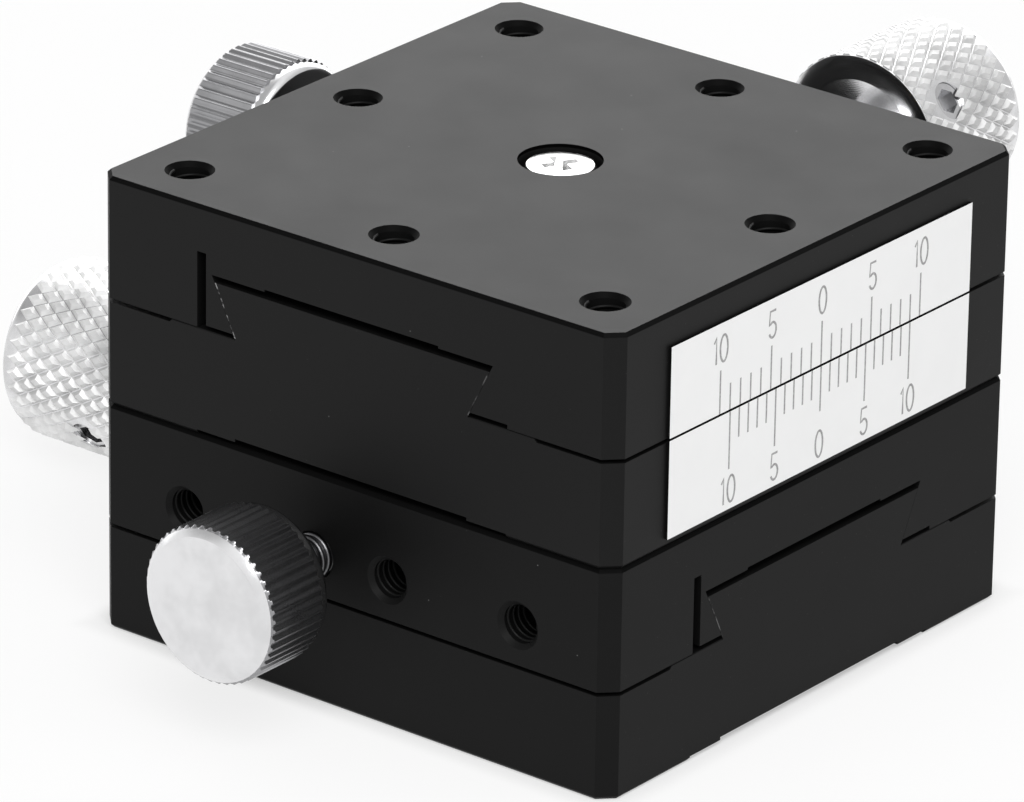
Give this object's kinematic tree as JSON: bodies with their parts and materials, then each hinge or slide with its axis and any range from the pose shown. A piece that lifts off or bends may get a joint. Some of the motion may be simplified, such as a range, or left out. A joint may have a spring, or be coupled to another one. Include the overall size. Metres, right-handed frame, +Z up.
{
  "type": "xy translation stage",
  "caption": "Manual two-axis positioning stage: stacked dovetail slides at right angles, each with a knurled lead-screw knob, a gib and a knurled lock screw.",
  "frame": {"origin": "centre of the underside, in the middle of the lower base's four fixing holes", "axes": "+Z up out of the table, X along the lower slide's travel, Y along the upper slide's travel; the lower drive knob is at -X and the upper one at +Y"},
  "size_m": [0.0612, 0.0712, 0.03],
  "materials": {
    "black_anodised": "matte black anodised",
    "polished_steel": "knurled and polished",
    "bright_steel": "turned bright",
    "dark_steel": "black oxide",
    "bronze": "turned",
    "white_plate": "white with grey graduations"
  },
  "bodies": {
    "stage_base": {"lower_base": "black_anodised", "lower_screw_bush": "bronze"},
    "lower_drive": {"lower_lead_screw": "bright_steel", "lower_shaft_collar": "dark_steel", "lower_collar_screw": "dark_steel", "lower_drive_knob": "polished_steel", "lower_knob_screw": "bright_steel"},
    "lower_slide": {"lower_carriage": "black_anodised", "lower_feed_nut": "bronze", "lower_nut_screw": "bright_steel", "lower_gib_screws": "dark_steel", "stack_screws": "dark_steel", "upper_base": "black_anodised", "upper_screw_bush": "bronze", "vernier_scale_plate": "white_plate"},
    "lower_lock_screw": {"lower_lock_stud": "bright_steel"},
    "lower_lock_grip": {"lower_lock_knob": "polished_steel"},
    "upper_drive": {"upper_lead_screw": "bright_steel", "upper_shaft_collar": "dark_steel", "upper_collar_screw": "dark_steel", "upper_drive_knob": "polished_steel", "upper_knob_screw": "bright_steel"},
    "upper_slide": {"upper_carriage": "black_anodised", "upper_feed_nut": "bronze", "upper_nut_screw": "bright_steel", "upper_gib_screws": "dark_steel", "main_scale_plate": "white_plate"},
    "upper_lock_screw": {"upper_lock_stud": "bright_steel"},
    "upper_lock_grip": {"upper_lock_knob": "polished_steel"}
  },
  "joints": [
    {"name": "lower_drive_turn", "type": "hinge", "parent": "stage_base", "child": "lower_drive", "pos_m": [-0.02, 0, 0.00675], "axis": [1, 0, 0], "range_deg": [-3600, 3600]},
    {"name": "lower_travel", "type": "slide", "parent": "stage_base", "child": "lower_slide", "axis": [1, 0, 0], "range_m": [-0.01, 0.01]},
    {"name": "lower_lock_travel", "type": "slide", "parent": "lower_slide", "child": "lower_lock_screw", "axis": [0, 1, 0], "range_m": [0, 0.0015]},
    {"name": "lower_lock_turn", "type": "hinge", "parent": "lower_lock_screw", "child": "lower_lock_grip", "pos_m": [-0.00275, -0.02, 0.00965], "axis": [0, 1, 0], "range_deg": [0, 1080]},
    {"name": "upper_drive_turn", "type": "hinge", "parent": "lower_slide", "child": "upper_drive", "pos_m": [0, 0.02, 0.02175], "axis": [0, 1, 0], "range_deg": [-3600, 3600]},
    {"name": "upper_travel", "type": "slide", "parent": "lower_slide", "child": "upper_slide", "axis": [0, 1, 0], "range_m": [-0.01, 0.01]},
    {"name": "upper_lock_travel", "type": "slide", "parent": "upper_slide", "child": "upper_lock_screw", "axis": [1, 0, 0], "range_m": [-0.0015, 0]},
    {"name": "upper_lock_turn", "type": "hinge", "parent": "upper_lock_screw", "child": "upper_lock_grip", "pos_m": [-0.02, 0.00275, 0.02465], "axis": [1, 0, 0], "range_deg": [-1080, 0]}
  ],
  "couplings": [
    {"joint": "lower_drive_turn", "follows": "lower_travel", "rad_per_m": -6283.2},
    {"joint": "lower_lock_turn", "follows": "lower_lock_travel", "rad_per_m": 12566},
    {"joint": "upper_drive_turn", "follows": "upper_travel", "rad_per_m": -6283.2},
    {"joint": "upper_lock_turn", "follows": "upper_lock_travel", "rad_per_m": 12566}
  ]
}
